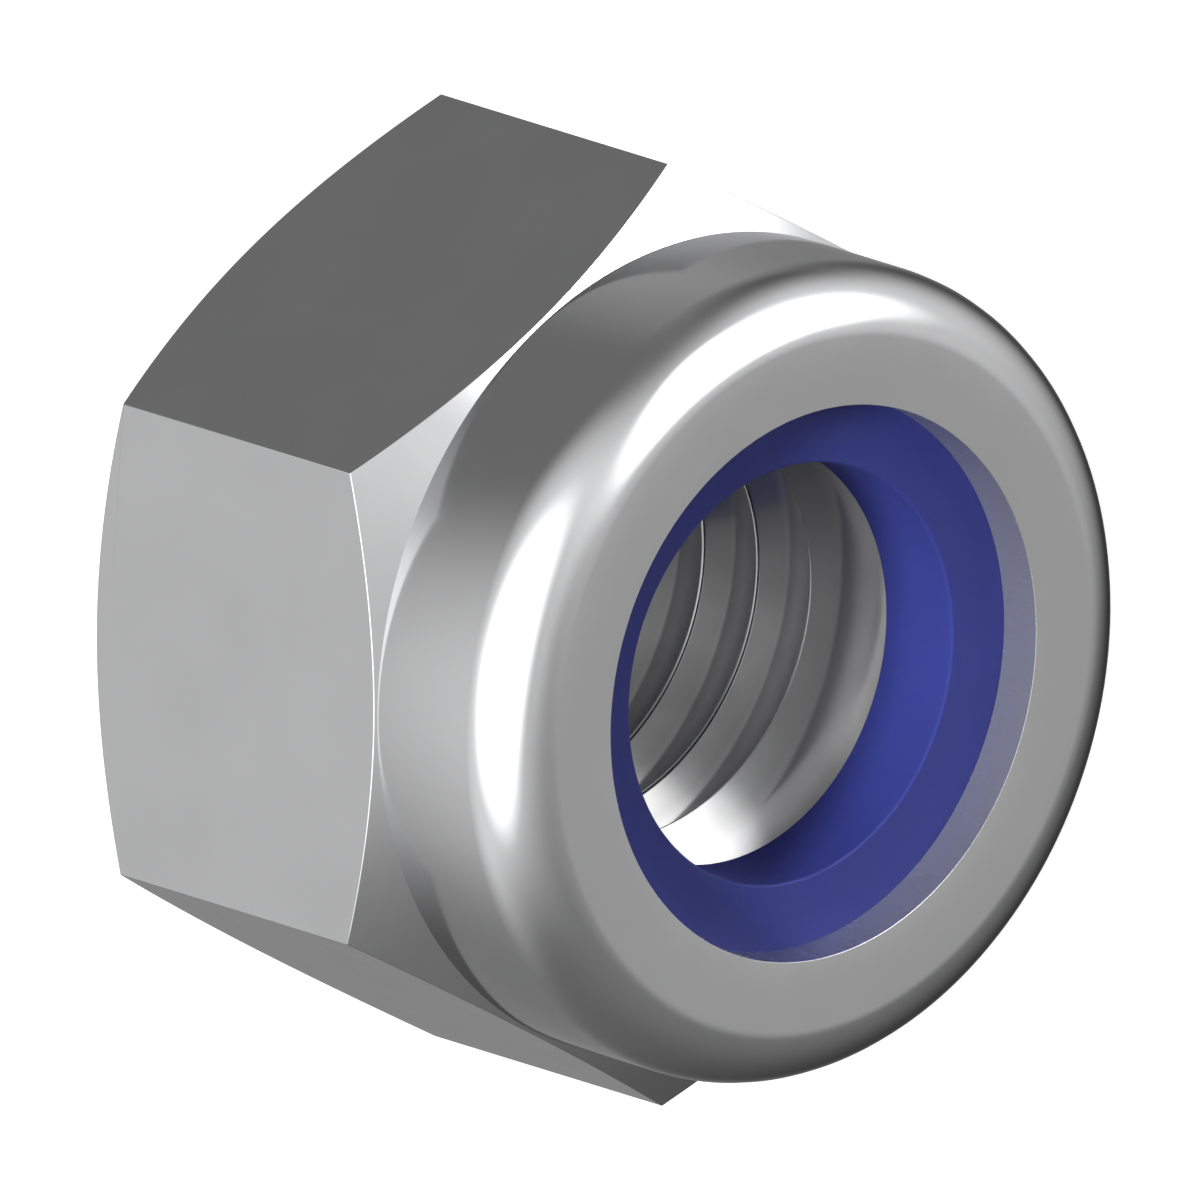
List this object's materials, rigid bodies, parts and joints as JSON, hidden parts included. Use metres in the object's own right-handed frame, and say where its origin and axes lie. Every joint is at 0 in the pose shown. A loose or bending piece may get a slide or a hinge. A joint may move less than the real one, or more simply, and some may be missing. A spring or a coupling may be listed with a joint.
{
  "type": "nylon insert lock nut",
  "caption": "Hexagon lock nut with a round collar whose rolled lip holds a nylon ring that grips the bolt's thread.",
  "frame": {"origin": "centre of the bearing face, on the thread's axis", "axes": "+Z along the thread, from the bearing face to the insert; +Y and -Y through opposite corners of the hexagon; +X and -X out of two flats"},
  "size_m": [0.013, 0.015, 0.0095],
  "materials": {
    "steel": "bright steel, smooth turned and pressed faces",
    "nylon": "smooth blue nylon, half matt"
  },
  "bodies": {
    "root": {"nut_body": "steel", "nylon_insert": "nylon"}
  },
  "joints": []
}
